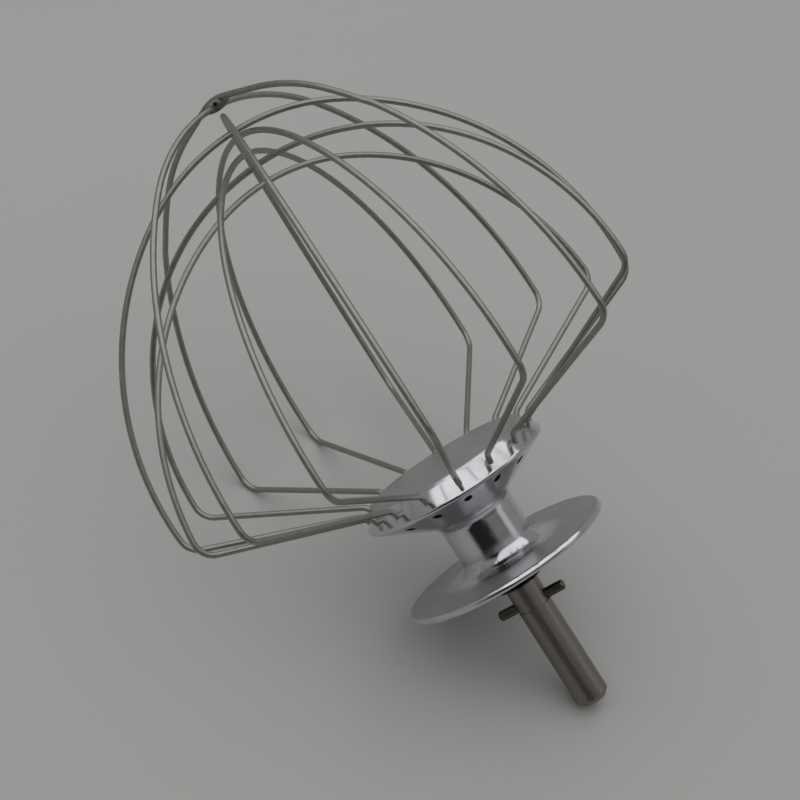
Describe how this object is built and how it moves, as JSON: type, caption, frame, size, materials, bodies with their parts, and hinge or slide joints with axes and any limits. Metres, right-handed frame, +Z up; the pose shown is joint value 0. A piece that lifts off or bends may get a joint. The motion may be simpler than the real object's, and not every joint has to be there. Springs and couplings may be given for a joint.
{
  "type": "stand mixer wire whisk",
  "caption": "Balloon whisk for a stand mixer: nested bent wire loops in a flanged hub with a drip disc, and a straight drive shank with a cross pin.",
  "frame": {"origin": "centre of the whisk's bounding box on the table it lies on, under the middle of its length", "axes": "+Z up from the table, +X along the table from the shank towards the crown of the balloon; the whisk's own line rises towards +X in the XZ plane"},
  "size_m": [0.1725, 0.1468, 0.1424],
  "materials": {
    "hub_aluminium": "turned, bright on the neck and matte on the top face",
    "shank_steel": "satin ground",
    "pin_steel": "dark, dull",
    "loop_wire": "drawn stainless wire, polished"
  },
  "bodies": {
    "root": {"hub": "hub_aluminium", "drive_shank": "shank_steel", "cross_pin": "pin_steel", "wire_loop_1": "loop_wire", "wire_loop_2": "loop_wire", "wire_loop_3": "loop_wire", "wire_loop_4": "loop_wire", "wire_loop_5": "loop_wire", "wire_loop_6": "loop_wire", "wire_loop_7": "loop_wire", "wire_loop_8": "loop_wire"}
  },
  "joints": []
}
